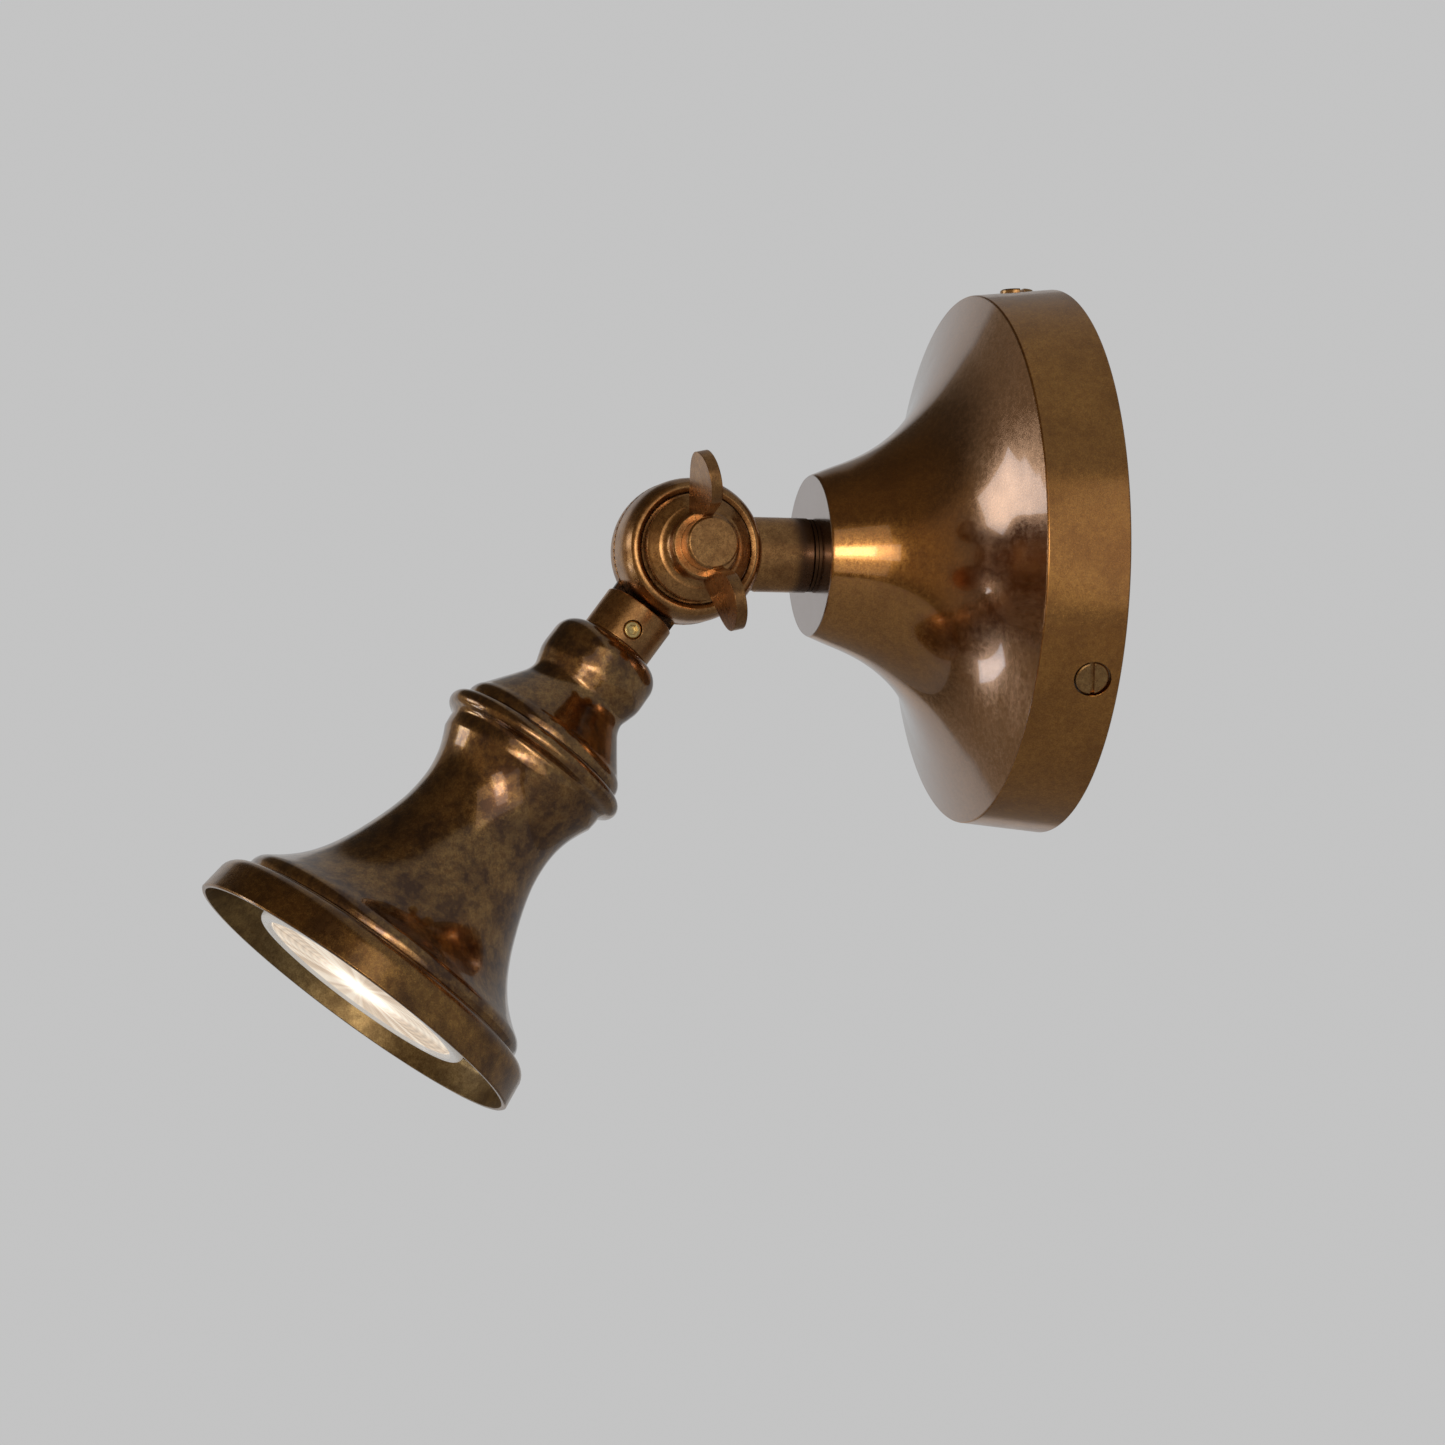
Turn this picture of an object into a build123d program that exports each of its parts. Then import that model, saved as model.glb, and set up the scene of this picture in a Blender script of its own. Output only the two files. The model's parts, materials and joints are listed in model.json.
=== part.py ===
"""Adjustable wall picture light in aged brass, with a GU10 lamp.

A round rose carries a short arm.  A clamped knuckle at the end of the arm
holds a turned bell-shaped shade that tilts up and down.  A wing nut locks the
knuckle, and the arm swivels in the neck of the rose.

Frame: millimetres, +Z up.  The wall is the plane y = 0 and the light stands
out from it towards -Y.  The origin is the centre of the back of the rose.
The knuckle axis runs along X and the wing nut is on the +X side.
"""

import os
from math import cos, pi, radians, sin

from build123d import *

os.makedirs("parts", exist_ok=True)

# ------------------------------------------------------------- dimensions
# Rose
ROSE_WALL_R = 56.8        # outer radius where the band meets the wall
ROSE_EDGE_R = 55.0        # crisp front edge of the band
ROSE_BAND = 17.4          # depth of the band
ROSE_NECK_R = 16.85       # flat face the arm comes out of
ROSE_DEPTH = 51.3         # wall to neck face
ROSE_WALL_GAP = 0.4       # the cover hangs just clear of the wall
ROSE_SHEET = 1.4
NECK_PLATE = 2.6          # thickness of the neck face
FLARE = [(53.0, 18.05), (49.0, 19.4), (43.0, 21.6), (37.0, 24.4), (32.0, 27.4),
         (28.0, 30.8), (24.5, 34.9), (22.0, 38.8), (20.0, 43.0), (18.3, 47.4)]

SIDE_SCREW_ANGLES = (90, 210, 330)   # around the rose, 90 is the top
SIDE_SCREW_DEPTH = 6.0               # centre of each screw from the wall
SIDE_HOLE_R = 3.8
SIDE_HEAD_R = 3.5
LUG_FACE = 53.4                      # outer face of the plate's lugs

PLATE_R = 49.0
PLATE_T = 1.6
WALL_SLOT_X = 34.0        # half the spacing of the two wall slots
WALL_SLOT_W = 4.8
WALL_SLOT_L = 11.0
CABLE_HOLE_R = 8.0
CABLE_HOLE_Z = -18.0
BLOCK_Z = 26.0            # terminal block: height above the centre, and its size
BLOCK_W, BLOCK_H, BLOCK_D = 32.0, 17.0, 13.0
GROMMET_BORE_R = 5.0

# Arm and knuckle
STEM_R = 7.75
HINGE_Y = -78.4           # knuckle axis, distance in front of the wall
FOOT_WASHER = 0.7         # washer between the arm and the neck face
BALL_R = 14.9
SEAM_X = 1.2              # plane where the two knuckle halves meet
SEAM_GAP = 0.3
COLLAR_START = 15.35      # where stem and collar begin, from the knuckle axis
FRONT_FACE_X = 11.3
BOLT_R = 2.5
BOLT_PITCH = 0.8
CAVITY_R = 9.3            # hollow for the lead around the bolt
NIPPLE_R = 5.0
NIPPLE_BORE = 3.6
LEAD_R = 1.9
LEAD_TURN = 6.8           # where the lead turns off to pass the bolt, from the knuckle axis
PASSAGE_R = 2.7           # holes that let the lead out of the knuckle's hollow
ARM_PASSAGE_X = 4.1
HEAD_PASSAGE_X = -2.9

# Wing nut
FLANGE_R = 10.9
HUB_R = 5.35
HUB_FACE_X = 24.4
WING_T = 2.3
WING_LEAN = 12.0          # rest angle of the wings from vertical

# Head, stations measured from the knuckle axis along the head
HEAD_TILT = 53.2          # below horizontal
COLLAR_END = 24.2
GRUB_S = 20.9
GRUB_R = 1.85
CAP_END = 50.4
SHADE_START = 50.7
SHADE_END = 106.0
MOUTH_S = 115.0
MOUTH_R = 38.0
SHEET = 1.2
CAP = [(12.0, 29.0), (12.0, 33.0), (11.4, 35.2), (10.9, 37.1), (11.4, 39.0),
       (12.9, 41.3), (15.0, 44.2), (17.1, 47.1)]
BELL = [(17.3, 60.3), (16.2, 63.2), (15.5, 66.8), (15.4, 70.2), (15.9, 74.8),
        (17.0, 79.2), (18.7, 84.2), (20.8, 89.3), (23.3, 93.9), (26.0, 97.5),
        (29.0, 100.4), (31.6, 102.4)]

# Lamp (GU10 reflector lamp, 50 mm)
LAMP_FACE_S = 113.0
LAMP_R = 25.0
LAMP_BASE_S = 66.3
LAMP_BASE_R = 12.9
PIN_PITCH = 10.0
HOLDER_S0 = 51.6
HOLDER_S1 = 65.9
HOLDER_R = 12.2
TWIST = 22.0              # bayonet turn of the lamp

# ----------------------------------------------------------------- frames
HINGE = Vector(0, HINGE_Y, 0)
AIM = Vector(0, -cos(radians(HEAD_TILT)), -sin(radians(HEAD_TILT)))
SIDE = Vector(0, sin(radians(HEAD_TILT)), -cos(radians(HEAD_TILT)))
HEAD_AXIS = Axis(HINGE, AIM)
HINGE_AXIS = Axis(HINGE, (1, 0, 0))
ROSE_AXIS = Axis((0, 0, 0), (0, 1, 0))

# Profile planes: local x is the radius, local y the distance along the axis
HEAD_PROFILE = Plane(origin=HINGE, x_dir=SIDE, z_dir=(-1, 0, 0))
ROSE_PROFILE = Plane(origin=(0, 0, 0), x_dir=(1, 0, 0), z_dir=(0, 0, -1))
HINGE_PROFILE = Plane(origin=HINGE, x_dir=(0, 0, 1), z_dir=(0, 1, 0))


def head_plane(s):
    """Plane square to the head axis, s from the knuckle axis, facing the mouth."""
    return Plane(origin=HINGE + AIM * s, x_dir=(1, 0, 0), z_dir=AIM)


def rose_plane(depth):
    """Plane parallel to the wall at a distance from it, facing the room."""
    return Plane(origin=(0, -depth, 0), x_dir=(1, 0, 0), z_dir=(0, -1, 0))


def side_plane(angle, radius):
    """Plane square to a radius of the rose at the height of the side screws."""
    out = Vector(cos(radians(angle)), 0, sin(radians(angle)))
    return Plane(origin=out * radius + Vector(0, -SIDE_SCREW_DEPTH, 0), x_dir=(0, 1, 0), z_dir=out)


def hinge_plane(x):
    """Plane square to the knuckle axis, facing +X."""
    return Plane(origin=HINGE + Vector(x, 0, 0), x_dir=(0, 1, 0), z_dir=(1, 0, 0))


def inset(points, wall):
    """Points moved square to the curve they lie on, towards its left side."""
    moved = []
    for i, (r, s) in enumerate(points):
        r0, s0 = points[max(i - 1, 0)]
        r1, s1 = points[min(i + 1, len(points) - 1)]
        run = ((r1 - r0) ** 2 + (s1 - s0) ** 2) ** 0.5
        moved.append((r - wall * (s1 - s0) / run, s + wall * (r1 - r0) / run))
    return moved


def finish(part, name):
    """Name a piece and write its STEP file."""
    part.part.label = name
    export_step(part.part, f"parts/{name}.step")


# ================================================================== ROSE
# Cover: spun trumpet with a straight band, turned down to a thick neck face
flare_outer = [(ROSE_EDGE_R, ROSE_BAND)] + FLARE + [(ROSE_NECK_R, ROSE_DEPTH)]
neck_under = ROSE_DEPTH - NECK_PLATE
flare_inner = [p for p in inset(flare_outer, ROSE_SHEET)[1:-1] if p[1] < neck_under - 2]

with BuildPart() as rose_cover:
    with BuildSketch(ROSE_PROFILE):
        with BuildLine():
            Spline(*flare_outer)
            Polyline((ROSE_NECK_R, ROSE_DEPTH), (NIPPLE_R + 0.15, ROSE_DEPTH),
                     (NIPPLE_R + 0.15, neck_under), (15.6, neck_under), flare_inner[-1])
            Spline(*reversed(flare_inner))
            Polyline(flare_inner[0], (ROSE_EDGE_R - ROSE_SHEET, ROSE_BAND - 1.1),
                     (ROSE_WALL_R - ROSE_SHEET, ROSE_WALL_GAP), (ROSE_WALL_R, ROSE_WALL_GAP),
                     (ROSE_EDGE_R, ROSE_BAND))
        make_face()
    revolve(axis=ROSE_AXIS)
    for angle in SIDE_SCREW_ANGLES:
        with BuildSketch(side_plane(angle, LUG_FACE)):
            Circle(SIDE_HOLE_R)
        extrude(amount=8, mode=Mode.SUBTRACT)
finish(rose_cover, "rose_cover")

# Mounting plate: steel disc with three lugs folded forward for the side screws
with BuildPart() as mounting_plate:
    with BuildSketch(rose_plane(0)):
        Circle(PLATE_R)
    extrude(amount=PLATE_T)
    for angle in SIDE_SCREW_ANGLES:
        with BuildSketch(side_plane(angle, 40)):
            with Locations((SIDE_SCREW_DEPTH - PLATE_T / 2, 0)):
                Rectangle(PLATE_T, 12)
        extrude(amount=LUG_FACE - 40)
        with BuildSketch(side_plane(angle, LUG_FACE - 2)):
            with Locations((SIDE_SCREW_DEPTH - 6, 0)):
                Rectangle(12, 12)
        extrude(amount=2)
        with BuildSketch(side_plane(angle, LUG_FACE - 4)):
            Circle(2.05)
        extrude(amount=6, mode=Mode.SUBTRACT)
    with BuildSketch(rose_plane(-1)):
        with Locations((0, CABLE_HOLE_Z)):
            Circle(CABLE_HOLE_R)
        with Locations((WALL_SLOT_X, 0), (-WALL_SLOT_X, 0)):
            SlotOverall(WALL_SLOT_L, WALL_SLOT_W)
        with Locations((5.5, BLOCK_Z), (-5.5, BLOCK_Z), (-22, -22)):
            Circle(1.55)
    extrude(amount=PLATE_T + 2, mode=Mode.SUBTRACT)
finish(mounting_plate, "mounting_plate")


def cover_screw(angle, proud, slot_turn):
    """Cheese-head screw whose head fills the hole in the band."""
    head_top = ROSE_WALL_R - 0.75 + proud
    with BuildPart() as screw:
        with BuildSketch(side_plane(angle, LUG_FACE + proud)):
            Circle(SIDE_HEAD_R)
        extrude(amount=head_top - LUG_FACE - proud)
        chamfer(screw.edges().filter_by(GeomType.CIRCLE).group_by(SortBy.RADIUS)[-1]
                .sort_by(lambda e: e.center().length)[-1], 0.25)
        with BuildSketch(side_plane(angle, LUG_FACE - 7)):
            Circle(2.0)
        extrude(amount=7 + proud)
        with BuildSketch(side_plane(angle, head_top - 0.9)):
            Rectangle(0.9, 9, rotation=slot_turn)
        extrude(amount=2, mode=Mode.SUBTRACT)
    return screw.part


# Three slotted screws; the top one stands a little proud
with BuildPart() as cover_screws:
    for angle, proud, slot_turn in zip(SIDE_SCREW_ANGLES, (0.9, 0.0, 0.0), (2, 31, 8)):
        add(cover_screw(angle, proud, slot_turn))
finish(cover_screws, "cover_screws")

# Rubber grommet in the cable hole
with BuildPart() as cable_grommet:
    for start, depth, radius in ((0.3, 1.4, CABLE_HOLE_R), (PLATE_T, 1.4, CABLE_HOLE_R + 2)):
        with BuildSketch(rose_plane(start)):
            with Locations((0, CABLE_HOLE_Z)):
                Circle(radius)
                Circle(GROMMET_BORE_R, mode=Mode.SUBTRACT)
        extrude(amount=depth)
finish(cable_grommet, "cable_grommet")

# Three-way terminal block with its brass tubes and screws
with BuildPart() as terminal_block:
    with BuildSketch(rose_plane(PLATE_T)):
        with Locations((0, BLOCK_Z)):
            RectangleRounded(BLOCK_W, BLOCK_H, 1.5)
    extrude(amount=BLOCK_D)
    for x in (-11, 0, 11):
        # way through for the conductor, and the screw well above each end
        with BuildSketch(Plane(origin=(x, -9.0, BLOCK_Z - 10), x_dir=(1, 0, 0), z_dir=(0, 0, 1))):
            Circle(2.6)
        extrude(amount=20, mode=Mode.SUBTRACT)
        with BuildSketch(rose_plane(9.0)):
            with Locations((x, BLOCK_Z + 4.5), (x, BLOCK_Z - 4.5)):
                Circle(1.9)
        extrude(amount=8, mode=Mode.SUBTRACT)
    with BuildSketch(rose_plane(0)):
        with Locations((5.5, BLOCK_Z), (-5.5, BLOCK_Z)):
            Circle(1.6)
    extrude(amount=20, mode=Mode.SUBTRACT)
finish(terminal_block, "terminal_block")

with BuildPart() as terminal_tubes:
    for x in (-11, 0, 11):
        with BuildSketch(Plane(origin=(x, -9.0, BLOCK_Z - 7), x_dir=(1, 0, 0), z_dir=(0, 0, 1))):
            Circle(2.6)
            Circle(1.6, mode=Mode.SUBTRACT)
        extrude(amount=14)
        with BuildSketch(rose_plane(9)):
            with Locations((x, BLOCK_Z + 4.5), (x, BLOCK_Z - 4.5)):
                Circle(1.3)
        extrude(amount=4, mode=Mode.SUBTRACT)
finish(terminal_tubes, "terminal_tubes")

with BuildPart() as terminal_screws:
    for x in (-11, 0, 11):
        for dz in (-4.5, 4.5):
            with BuildSketch(rose_plane(9.4)):
                with Locations((x, BLOCK_Z + dz)):
                    Circle(1.25)
            extrude(amount=4.6)
            with BuildSketch(rose_plane(12.0)):
                with Locations((x, BLOCK_Z + dz)):
                    Circle(1.8)
            extrude(amount=2.0)
            with BuildSketch(rose_plane(13.2)):
                with Locations((x, BLOCK_Z + dz)):
                    Rectangle(0.6, 4)
            extrude(amount=2, mode=Mode.SUBTRACT)
finish(terminal_screws, "terminal_screws")

# Two screws hold the block to the plate
with BuildPart() as block_screws:
    for x in (-5.5, 5.5):
        with BuildSketch(rose_plane(0.1)):
            with Locations((x, BLOCK_Z)):
                Circle(1.5)
        extrude(amount=BLOCK_D + PLATE_T)
        with BuildSketch(rose_plane(PLATE_T + BLOCK_D)):
            with Locations((x, BLOCK_Z)):
                Circle(2.6)
        extrude(amount=1.6)
        with BuildSketch(rose_plane(PLATE_T + BLOCK_D + 0.8)):
            with Locations((x, BLOCK_Z)):
                Rectangle(0.7, 6)
        extrude(amount=2, mode=Mode.SUBTRACT)
finish(block_screws, "block_screws")

# Earth screw with its cup washer, on the plate
with BuildPart() as earth_screw:
    with BuildSketch(rose_plane(0.1)):
        with Locations((-22, -22)):
            Circle(1.5)
    extrude(amount=PLATE_T + 1.2)
    with BuildSketch(rose_plane(PLATE_T)):
        with Locations((-22, -22)):
            Circle(4.0)
    extrude(amount=0.8)
    with BuildSketch(rose_plane(PLATE_T + 0.8)):
        with Locations((-22, -22)):
            Circle(3.0)
    extrude(amount=2.2)
    with BuildSketch(rose_plane(PLATE_T + 2.0)):
        with Locations((-22, -22)):
            Rectangle(0.8, 7)
            Rectangle(7, 0.8)
    extrude(amount=2, mode=Mode.SUBTRACT)
finish(earth_screw, "earth_screw")


def wire(points, radius, bend=3.0):
    """Round wire of straight runs joined by bends."""
    with BuildPart() as strand:
        with BuildLine() as path:
            FilletPolyline(*points, radius=bend)
        with BuildSketch(Plane(origin=path.line @ 0, z_dir=path.line % 0)):
            Circle(radius)
        sweep(path=path.line)
    return strand.part


# Three leads from the block to the sheathed lead in the arm
LEAD_MOUTH = 36.0
with BuildPart() as rose_leads:
    for x, px, pz in ((-11, -1.0, 0.6), (0, 0.0, -1.15), (11, 1.0, 0.6)):
        add(wire([(x, -9.0, BLOCK_Z - 6.4), (x, -9.0, BLOCK_Z - 13),
                  (px + 0.35 * x, -22.0, 4.0 + 1.5 * pz), (px, -31.0, pz),
                  (px, -LEAD_MOUTH + 0.2, pz)], 0.88))
finish(rose_leads, "rose_leads")

# Short earth lead from the block to the screw on the plate
with BuildPart() as earth_lead:
    add(wire([(-11, -9.0, BLOCK_Z + 6.4), (-11, -9.0, BLOCK_Z + 12), (-24, -10.5, 36),
              (-37, -9.5, 18), (-37, -7.5, -8), (-31.0, -3.4, -22), (-25.4, -3.4, -22)], 0.9))
finish(earth_lead, "earth_lead")

# =================================================================== ARM
stem_end = -ROSE_DEPTH - FOOT_WASHER - 0.1

# Thin washer between the stem and the neck face
with BuildPart() as arm_washer:
    with BuildSketch(rose_plane(ROSE_DEPTH + 0.08)):
        Circle(STEM_R - 0.2)
        Circle(NIPPLE_R + 0.1, mode=Mode.SUBTRACT)
    extrude(amount=FOOT_WASHER - 0.06)
finish(arm_washer, "arm_washer")

# Front half of the knuckle with the stem, one casting
with BuildPart() as arm_knuckle:
    # turned front half: barrel, rounded shoulder, raised ring and washer recess
    with BuildSketch(HINGE_PROFILE):
        with BuildLine():
            # local x is the radius, local y runs along +X
            Line((0, SEAM_X), (BALL_R - 0.05, SEAM_X))
            Spline((BALL_R - 0.05, SEAM_X), (BALL_R, 4.0), (BALL_R - 0.35, 8.4), (13.9, 10.2))
            ThreePointArc((13.9, 10.2), (13.3, 11.05), (12.5, FRONT_FACE_X))
            Polyline((12.5, FRONT_FACE_X), (11.6, 10.9), (11.4, 9.9), (0, 9.9), (0, SEAM_X))
        make_face()
    revolve(axis=HINGE_AXIS)
    # stem, cut away behind the seam so that the other half can turn past it
    with BuildSketch(rose_plane(-stem_end)):
        Circle(STEM_R)
    extrude(amount=-HINGE_Y + stem_end - COLLAR_START)
    with BuildSketch(Plane(origin=(0, HINGE_Y + COLLAR_START, 0), x_dir=(1, 0, 0),
                           z_dir=(0, -1, 0))):
        Circle(STEM_R)
        with Locations((SEAM_X - 20, 0)):
            Rectangle(40, 40, mode=Mode.SUBTRACT)
    extrude(amount=COLLAR_START)
    # chamfer at the foot of the stem
    chamfer(arm_knuckle.edges().filter_by(GeomType.CIRCLE)
            .filter_by(lambda e: abs(e.center().Y - stem_end) < 0.01), 0.3)
    # hollow for the lead, passage into the stem, bore of the stem
    with BuildSketch(hinge_plane(SEAM_X - 0.1)):
        Circle(CAVITY_R)
        Circle(BOLT_R + 1.3, mode=Mode.SUBTRACT)
    extrude(amount=6.0, mode=Mode.SUBTRACT)
    with BuildSketch(Plane(origin=(ARM_PASSAGE_X, HINGE_Y + 6, 0), z_dir=(0, 1, 0))):
        Circle(PASSAGE_R)
    extrude(amount=15, mode=Mode.SUBTRACT)
    with BuildSketch(Plane(origin=(0, HINGE_Y + 16.2, 0), z_dir=(0, 1, 0))):
        Circle(4.2)
    extrude(amount=20, mode=Mode.SUBTRACT)
    with BuildSketch(Plane(origin=(0, stem_end, 0), z_dir=(0, -1, 0))):
        Circle(NIPPLE_R)
    extrude(amount=8, mode=Mode.SUBTRACT)
    with BuildSketch(hinge_plane(-2)):
        Circle(BOLT_R)
    extrude(amount=20, mode=Mode.SUBTRACT)
finish(arm_knuckle, "arm_knuckle")

# Threaded nipple that the lead runs through
nipple_back = -ROSE_DEPTH + 14.0
with BuildPart() as arm_nipple:
    with BuildSketch(Plane(origin=(0, nipple_back, 0), z_dir=(0, -1, 0))):
        Circle(NIPPLE_R)
        Circle(NIPPLE_BORE, mode=Mode.SUBTRACT)
    extrude(amount=nipple_back - stem_end + 4.5)
    chamfer(arm_nipple.edges().filter_by(GeomType.CIRCLE).group_by(SortBy.RADIUS)[-1], 0.4)
finish(arm_nipple, "arm_nipple")

# Wave washer and two lock nuts behind the neck face
under_face = -ROSE_DEPTH + NECK_PLATE
with BuildPart() as arm_spring_washer:
    with BuildSketch(Plane(origin=(0, under_face + 0.1, 0), z_dir=(0, 1, 0))):
        Circle(9.0)
        Circle(NIPPLE_R + 0.1, mode=Mode.SUBTRACT)
    extrude(amount=0.9)
finish(arm_spring_washer, "arm_spring_washer")

with BuildPart() as arm_nuts:
    for start in (1.05, 4.35):
        with BuildSketch(Plane(origin=(0, under_face + start, 0), z_dir=(0, 1, 0))):
            RegularPolygon(7.0, 6, major_radius=False)
            Circle(NIPPLE_R, mode=Mode.SUBTRACT)
        extrude(amount=3.2)
finish(arm_nuts, "arm_nuts")

# Through bolt of the knuckle, its slotted head sunk in the back half
BOLT_HEAD_X = -9.2
with BuildPart() as knuckle_bolt:
    with BuildSketch(hinge_plane(BOLT_HEAD_X)):
        Circle(BOLT_R)
    extrude(amount=22.4 - BOLT_HEAD_X)
    with BuildSketch(hinge_plane(BOLT_HEAD_X - 3.2)):
        Circle(4.6)
    extrude(amount=3.2)
    chamfer(knuckle_bolt.edges().filter_by(GeomType.CIRCLE).group_by(SortBy.RADIUS)[-1]
            .sort_by(Axis.X)[0], 0.5)
    with BuildSketch(hinge_plane(BOLT_HEAD_X - 2.2)):
        Rectangle(1.1, 12)
    extrude(amount=-3, mode=Mode.SUBTRACT)
finish(knuckle_bolt, "knuckle_bolt")

# Sheathed lead through the arm, round the bolt to the seam of the knuckle
with BuildPart() as arm_lead:
    add(wire([(0, -LEAD_MOUTH, 0), (0, -52.5, 0), (ARM_PASSAGE_X, -63.5, 0),
              (ARM_PASSAGE_X, HINGE_Y + LEAD_TURN, 0), (3.3, HINGE_Y + 3.0, -6.6)], LEAD_R))
finish(arm_lead, "arm_lead")

# ================================================================ WASHER
with BuildPart() as clamp_washer:
    with BuildSketch(hinge_plane(10.0)):
        Circle(9.6)
        Circle(BOLT_R + 0.1, mode=Mode.SUBTRACT)
    extrude(amount=1.7)
    fillet(clamp_washer.edges().filter_by(GeomType.CIRCLE).group_by(SortBy.RADIUS)[-1], 0.3)
finish(clamp_washer, "clamp_washer")

# ============================================================== WING NUT
# outline of one wing: distance along the bolt, distance from the bolt
WING_OUTLINE = [(13.0, 4.2), (16.6, 9.2), (20.6, 13.7), (24.2, 17.0), (28.0, 18.4),
                (32.6, 17.2), (35.4, 14.2), (35.6, 11.0), (33.0, 7.8), (28.0, 6.2), (23.2, 5.0)]

with BuildPart() as wing_nut:
    with BuildSketch(HINGE_PROFILE):
        with BuildLine():
            Polyline((0, 11.8), (FLANGE_R, 11.8), (FLANGE_R, 12.9), (10.4, 13.3), (8.7, 14.4))
            ThreePointArc((8.7, 14.4), (7.4, 15.2), (6.95, 16.8))
            Polyline((6.95, 16.8), (6.95, 18.4), (6.6, 18.8), (HUB_R, 18.8), (HUB_R, 24.0),
                     (4.95, HUB_FACE_X), (0, HUB_FACE_X), (0, 11.8))
        make_face()
    revolve(axis=HINGE_AXIS)
    for lean in (WING_LEAN, WING_LEAN + 180):
        # wing plane holds the knuckle axis; local x along the bolt, y outwards
        out = Vector(0, -sin(radians(lean)), cos(radians(lean)))
        with BuildSketch(Plane(origin=HINGE, x_dir=(1, 0, 0), z_dir=Vector(1, 0, 0).cross(out))):
            with BuildLine():
                Polyline(WING_OUTLINE[-1], (23.2, 3.0), (13.0, 3.0), WING_OUTLINE[0])
                Spline(*WING_OUTLINE)
            make_face()
        extrude(amount=WING_T / 2, both=True)
    with BuildSketch(hinge_plane(11)):
        Circle(BOLT_R + 0.06)
    extrude(amount=11.8, mode=Mode.SUBTRACT)
finish(wing_nut, "wing_nut")

# ================================================================== HEAD
seam_back = SEAM_X - SEAM_GAP

# Back half of the knuckle: hemisphere, half neck, and the tenon for the collar
with BuildPart() as head_knuckle:
    with BuildSketch(HINGE_PROFILE):
        with BuildLine():
            rim = (BALL_R ** 2 - seam_back ** 2) ** 0.5
            Polyline((0, -BALL_R), (0, seam_back), (rim, seam_back))
            ThreePointArc((rim, seam_back), (BALL_R * cos(pi / 4), -BALL_R * sin(pi / 4)),
                          (0, -BALL_R))
        make_face()
    revolve(axis=HINGE_AXIS)
    with BuildSketch(head_plane(0)):
        Circle(STEM_R - 0.45)
        with Locations((seam_back + 20, 0)):
            Rectangle(40, 40, mode=Mode.SUBTRACT)
    extrude(amount=COLLAR_START)
    # half tenon: the collar's mouth stays open on the wing nut's side
    with BuildSketch(head_plane(COLLAR_START)):
        Circle(6.2)
        with Locations((seam_back + 20, 0)):
            Rectangle(40, 40, mode=Mode.SUBTRACT)
    extrude(amount=6.5)
    # fine radial teeth round the seam
    with BuildSketch(hinge_plane(seam_back)):
        with PolarLocations(BALL_R - 0.4, 60):
            Rectangle(2.4, 0.55)
    extrude(amount=-0.55, mode=Mode.SUBTRACT)
    # hollow for the lead, passage into the tenon, bolt bore and head recess
    with BuildSketch(hinge_plane(seam_back + 0.1)):
        Circle(CAVITY_R)
        Circle(BOLT_R + 1.3, mode=Mode.SUBTRACT)
    extrude(amount=-6.2, mode=Mode.SUBTRACT)
    with BuildSketch(Plane(origin=HINGE + Vector(HEAD_PASSAGE_X, 0, 0) + AIM * 6, z_dir=AIM)):
        Circle(PASSAGE_R)
    extrude(amount=13, mode=Mode.SUBTRACT)
    with BuildSketch(head_plane(15.6)):
        Circle(NIPPLE_BORE)
    extrude(amount=8, mode=Mode.SUBTRACT)
    with BuildSketch(hinge_plane(5)):
        Circle(BOLT_R + 0.05)
    extrude(amount=-20, mode=Mode.SUBTRACT)
    with BuildSketch(hinge_plane(BOLT_HEAD_X + 1.0)):
        Circle(5.2)
    extrude(amount=-10, mode=Mode.SUBTRACT)
    # flat for the grub screw
    with BuildSketch(Plane(origin=HINGE + AIM * GRUB_S + Vector(5.6, 0, 0), x_dir=AIM,
                           z_dir=(1, 0, 0))):
        Circle(2.6)
    extrude(amount=4, mode=Mode.SUBTRACT)
finish(head_knuckle, "head_knuckle")

# Spring washer under the bolt head
with BuildPart() as bolt_washer:
    with BuildSketch(hinge_plane(BOLT_HEAD_X + 0.06)):
        Circle(4.6)
        Circle(BOLT_R + 0.1, mode=Mode.SUBTRACT)
    extrude(amount=0.88)
finish(bolt_washer, "bolt_washer")

# Collar sleeve between the knuckle and the cap
with BuildPart() as head_collar:
    with BuildSketch(head_plane(COLLAR_START)):
        Circle(STEM_R)
        Circle(6.2, mode=Mode.SUBTRACT)
    extrude(amount=6.6)
    with BuildSketch(head_plane(COLLAR_START + 6.6)):
        Circle(STEM_R)
        Circle(NIPPLE_R, mode=Mode.SUBTRACT)
    extrude(amount=COLLAR_END - COLLAR_START - 6.6)
    chamfer(head_collar.edges().filter_by(GeomType.CIRCLE).group_by(SortBy.RADIUS)[-1], 0.2)
    with BuildSketch(Plane(origin=HINGE + AIM * GRUB_S, x_dir=AIM, z_dir=(1, 0, 0))):
        Circle(GRUB_R + 0.15)
    extrude(amount=12, mode=Mode.SUBTRACT)
finish(head_collar, "head_collar")

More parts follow.
